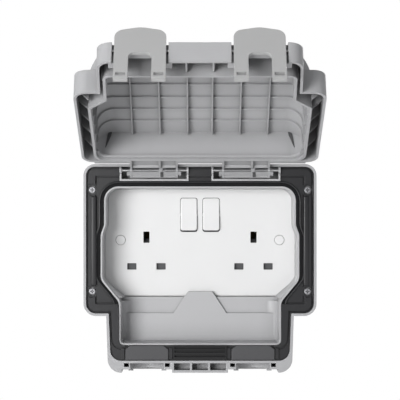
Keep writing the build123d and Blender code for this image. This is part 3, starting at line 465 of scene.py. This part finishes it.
def tray_ring(name, inner, outer, proud, rounding):
    """Band that follows the tray between two distances outside its opening, cut off above the foot."""
    back_y, face_y = SEAL_FLOOR_Y + RING_SEATED, SEAL_FLOOR_Y - proud
    wide = TRAY_WIDE_HALF + outer
    high, low = TRAY_TOP + outer, TRAY_FOOT - outer
    deselect_all()
    bpy.ops.mesh.primitive_plane_add(size=1.0, location=(0.0, back_y, (high + low) / 2),
                                     rotation=(math.radians(90.0), 0.0, 0.0))
    ring = bpy.context.object
    ring.name = name
    ring.scale = (2 * wide, high - low, 1.0)
    bpy.ops.object.transform_apply(location=True, rotation=True, scale=True)
    bpy.ops.object.mode_set(mode="EDIT")
    for height in (FLARE_HIGH, FLARE_LOW, WAIST_HIGH, WAIST_LOW):
        cut_at(height)
    pick(ring, lambda place: place.z > FLARE_HIGH - MM)
    bpy.ops.transform.resize(value=((TRAY_UPPER_HALF + outer) / wide, 1.0, 1.0), center_override=ORIGIN)
    pick(ring, lambda place: place.z < WAIST_LOW + MM)
    bpy.ops.transform.resize(value=((TRAY_LOWER_HALF + outer) / wide, 1.0, 1.0), center_override=ORIGIN)
    bpy.ops.mesh.select_all(action="SELECT")
    bpy.ops.mesh.dissolve_limited(angle_limit=FLAT_ANGLE)
    corners = ((high, TRAY_TOP_CORNER + outer), (FLARE_HIGH, FLARE_CORNER), (FLARE_LOW, FLARE_CORNER),
               (WAIST_HIGH, WAIST_CORNER), (WAIST_LOW, WAIST_CORNER))
    for height, length in corners:
        pick(ring, lambda place: abs(place.z - height) < SAME_HEIGHT)
        bpy.ops.mesh.bevel(offset_type="OFFSET", offset=length, segments=CORNER_STEPS,
                           affect="VERTICES")
    bpy.ops.mesh.select_mode(type="FACE")
    bpy.ops.mesh.select_all(action="SELECT")
    bpy.ops.mesh.inset(thickness=outer - inner, use_boundary=True)
    bpy.ops.mesh.delete(type="FACE")
    bpy.ops.mesh.select_all(action="SELECT")
    bpy.ops.mesh.bisect(plane_co=(0.0, 0.0, TRAY_FOOT + RING_END), plane_no=UP, clear_inner=True)
    bpy.ops.mesh.select_all(action="SELECT")
    bpy.ops.mesh.extrude_region_move(TRANSFORM_OT_translate={"value": (0.0, face_y - back_y, 0.0)})
    bpy.ops.mesh.select_all(action="SELECT")
    bpy.ops.mesh.normals_make_consistent(inside=False)
    soften(ring, rounding, steps=3)
    return ring


def make_seal_details():
    """Dark skin beside the tray: black rubber darkened further as painted shadow of the channel for the
    lid's hood wall, and the soft lip outside it.
    """
    channel = tray_ring("seal_channel_shadow", TRAY_WALL, CHANNEL_OUTER, CHANNEL_PROUD, rounding=0.1 * MM)
    finish_piece(channel, "channel_painted_shadow", "base")
    lip = tray_ring("seal_lip", CHANNEL_OUTER, LIP_OUTER, LIP_PROUD, rounding=0.6 * MM)
    finish_piece(lip, "seal_black", "base")


# Rounded beads on the seal between the screws of each side
BEAD_X = 79.1 * MM
BEAD_HALF = 2.2 * MM
BEAD_PROUD = 1.9 * MM
BEAD_SEATED = 0.5 * MM
BEAD_LOW = -13.0 * MM
BEAD_HIGH = 54.0 * MM


def make_seal_beads():
    """Soft rounded bead that stands on the seal along each side."""
    left = block("seal_bead_left", (-BEAD_X - BEAD_HALF, SEAL_FLOOR_Y - BEAD_PROUD, BEAD_LOW),
                 (-BEAD_X + BEAD_HALF, SEAL_FLOOR_Y + BEAD_SEATED, BEAD_HIGH))
    soften(left, rounding=1.8 * MM, steps=5)
    right = mirrored_copy(left, "seal_bead_right")
    for bead in (left, right):
        finish_piece(bead, "seal_black", "base")


# Sloping fillet in each lower corner of the plate's part of the tray: where its front and its seat on
# the plate are behind the rim, its reach, and what is left of its width at the top and at the front
FILLET_FRONT = 3.0 * MM
FILLET_SEAT = 25.1 * MM
FILLET_LOW = -22.6 * MM
FILLET_HIGH = -11.5 * MM
FILLET_INNER = 56.2 * MM
FILLET_OUTER = 61.4 * MM
FILLET_TOP_WIDTH = 1.2 * MM
FILLET_FRONT_WIDTH = 2.0 * MM


def make_tray_fillets():
    """Sloping fillet between plate and tray wall at each lower corner of the plate."""
    width = FILLET_OUTER - FILLET_INNER
    waist_slope = (TRAY_WIDE_HALF - TRAY_LOWER_HALF) / (WAIST_HIGH - WAIST_LOW)
    lean = (FILLET_HIGH - FILLET_LOW) * waist_slope
    right = block("tray_fillet_right", (FILLET_INNER, RIM_Y + FILLET_FRONT, FILLET_LOW),
                  (FILLET_OUTER, RIM_Y + FILLET_SEAT, FILLET_HIGH))
    pick(right, lambda place: place.z > FILLET_LOW + MM)
    bpy.ops.transform.translate(value=(lean, 0.0, 0.0))
    pick(right, lambda place: place.z > FILLET_LOW + MM and place.x < FILLET_OUTER + lean - MM)
    bpy.ops.transform.translate(value=(width - FILLET_TOP_WIDTH, 0.0, 0.0))
    pick(right, lambda place: place.z < FILLET_LOW + MM and place.x < FILLET_OUTER - MM
         and place.y < RIM_Y + FILLET_FRONT + MM)
    bpy.ops.transform.translate(value=(width - FILLET_FRONT_WIDTH, 0.0, 0.0))
    soften(right, rounding=0.3 * MM)
    left = mirrored_copy(right, "tray_fillet_left")
    for fillet in (left, right):
        finish_piece(fillet, "frame_grey", "base")


# The deep wall inside the hood, as heights and depths in front of the rim with the lid closed, and the
# fins that stand on it
HOOD_TOP = (57.5 * MM, 25.1 * MM)
HOOD_DEEP = (-22.0 * MM, 40.0 * MM)
HOOD_FOOT = (-54.7 * MM, 21.8 * MM)
FIN_PROUD = 3.4 * MM
FIN_SEATED = 0.3 * MM
FIN_THICK = 1.1 * MM
FIN_PLACES = (-50.0 * MM, -29.5 * MM, -9.0 * MM, 9.0 * MM, 29.5 * MM, 50.0 * MM)


def make_hood_fins():
    """Six long stiffening fins inside the hood, each standing on its wall."""
    first = block("hood_fin_1", (FIN_PLACES[0] - FIN_THICK / 2, RIM_Y - FIN_SEATED, HOOD_FOOT[0]),
                  (FIN_PLACES[0] + FIN_THICK / 2, RIM_Y + FIN_PROUD, HOOD_TOP[0]))
    cut_at(HOOD_DEEP[0])
    for height, depth in (HOOD_TOP, HOOD_DEEP, HOOD_FOOT):
        pick(first, lambda place: abs(place.z - height) < MM)
        bpy.ops.transform.translate(value=(0.0, -depth, 0.0))
    open_with_lid()
    soften(first, rounding=0.25 * MM)
    fins = [first]
    for number, x in enumerate(FIN_PLACES[1:], 2):
        fins.append(shifted_copy(first, f"hood_fin_{number}", x - FIN_PLACES[0]))
    for fin in fins:
        finish_piece(fin, "lid_grey", "lid_body")


# The dark sheet painted as the shadow of a tapering slot at each hinge-end corner of the hood: the face
# it lies on, below the hinge, and its depth, half width and distance from the middle at three stations
SLOT_FACE = 13.8 * MM
SLOT_PROUD = 0.85 * MM
SLOT_SEATED = 0.2 * MM
SLOT_STATIONS = ((24.6 * MM, 1.2 * MM, 66.6 * MM), (22.0 * MM, 1.3 * MM, 67.2 * MM),
                 (11.5 * MM, 0.15 * MM, 69.8 * MM))


def make_corner_slots():
    """Dark sheet at each hinge-end corner of the hood, painted as the shadow in a narrow tapering slot.
    """
    face_z = HINGE.z - SLOT_FACE
    near, bend, far = (RIM_Y - station[0] for station in SLOT_STATIONS)
    left = block("hood_corner_slot_shadow_left", (-MM, near, face_z - SLOT_PROUD),
                 (MM, far, face_z + SLOT_SEATED))
    bpy.ops.mesh.select_all(action="SELECT")
    bpy.ops.mesh.bisect(plane_co=(0.0, bend, 0.0), plane_no=(0.0, 1.0, 0.0))
    for depth, half, along in SLOT_STATIONS:
        pick(left, lambda place: abs(place.y - RIM_Y + depth) < MM)
        bpy.ops.transform.resize(value=(half / MM, 1.0, 1.0), center_override=ORIGIN)
        bpy.ops.transform.translate(value=(-along, 0.0, 0.0))
    open_with_lid()
    soften(left, rounding=0.05 * MM)
    right = mirrored_copy(left, "hood_corner_slot_shadow_right")
    for slot in (left, right):
        finish_piece(slot, "slot_shade", "lid_body")


# Each hinge arm: its middle, half its width, and the painted slot shadow and the step beside its
# partition, as corners measured from where the arm's middle meets the hinge
ARM_X = 34.2 * MM
ARM_HALF = 17.8 * MM
ARM_SLOT = (Vector((4.8, 2.3, -1.4)) * MM, Vector((7.0, 6.1, -0.4)) * MM)
ARM_STEP = (Vector((3.7, -1.4, -2.1)) * MM, Vector((6.7, 1.6, -0.4)) * MM)


def make_arm_details():
    """Step of each hinge arm's partition, and a dark sheet below it painted as the shadow in a small
    slot.
    """
    left_arm = HINGE - Vector((ARM_X, 0.0, 0.0))
    details = (("hinge_arm_slot_shadow", ARM_SLOT, 0.15 * MM, "slot_shade"),
               ("hinge_arm_step", ARM_STEP, 0.3 * MM, "lid_grey"))
    for name, (low, high), rounding, finish in details:
        left = block(f"{name}_left", left_arm + low, left_arm + high)
        open_with_lid()
        soften(left, rounding)
        right = shifted_copy(left, f"{name}_right", 2 * ARM_X)
        for piece in (left, right):
            finish_piece(piece, finish, "lid_body")


# The lip along the lid's edge: its ends, its depth in front of the rim and its drop below the hinge
HINGE_LIP_END = 78.0 * MM
HINGE_LIP_DEPTH = (2.4 * MM, 0.8 * MM)
HINGE_LIP_DROP = (12.6 * MM, 8.8 * MM)


def hinge_lip(name, low, high):
    """Length of the lip between two places along x."""
    lip = block(name, (low, RIM_Y - HINGE_LIP_DEPTH[0], HINGE.z - HINGE_LIP_DROP[0]),
                (high, RIM_Y - HINGE_LIP_DEPTH[1], HINGE.z - HINGE_LIP_DROP[1]))
    open_with_lid()
    soften(lip, rounding=0.5 * MM, steps=3)
    return lip


def make_hinge_lip():
    """Lip along the lid's edge on both sides of the hinge arms, between lid and box."""
    inner, outer = ARM_X - ARM_HALF, ARM_X + ARM_HALF
    left = hinge_lip("lid_hinge_lip_left", -HINGE_LIP_END, -outer)
    middle = hinge_lip("lid_hinge_lip_middle", -inner, inner)
    right = mirrored_copy(left, "lid_hinge_lip_right")
    for lip in (left, middle, right):
        finish_piece(lip, "lid_grey", "lid_body")


place_camera()
light_studio()
make_stage()
dress_nodes()
make_seal_details()
make_seal_beads()
make_tray_fillets()
make_hood_fins()
make_corner_slots()
make_arm_details()
make_hinge_lip()

scene.view_settings.view_transform = "Standard"
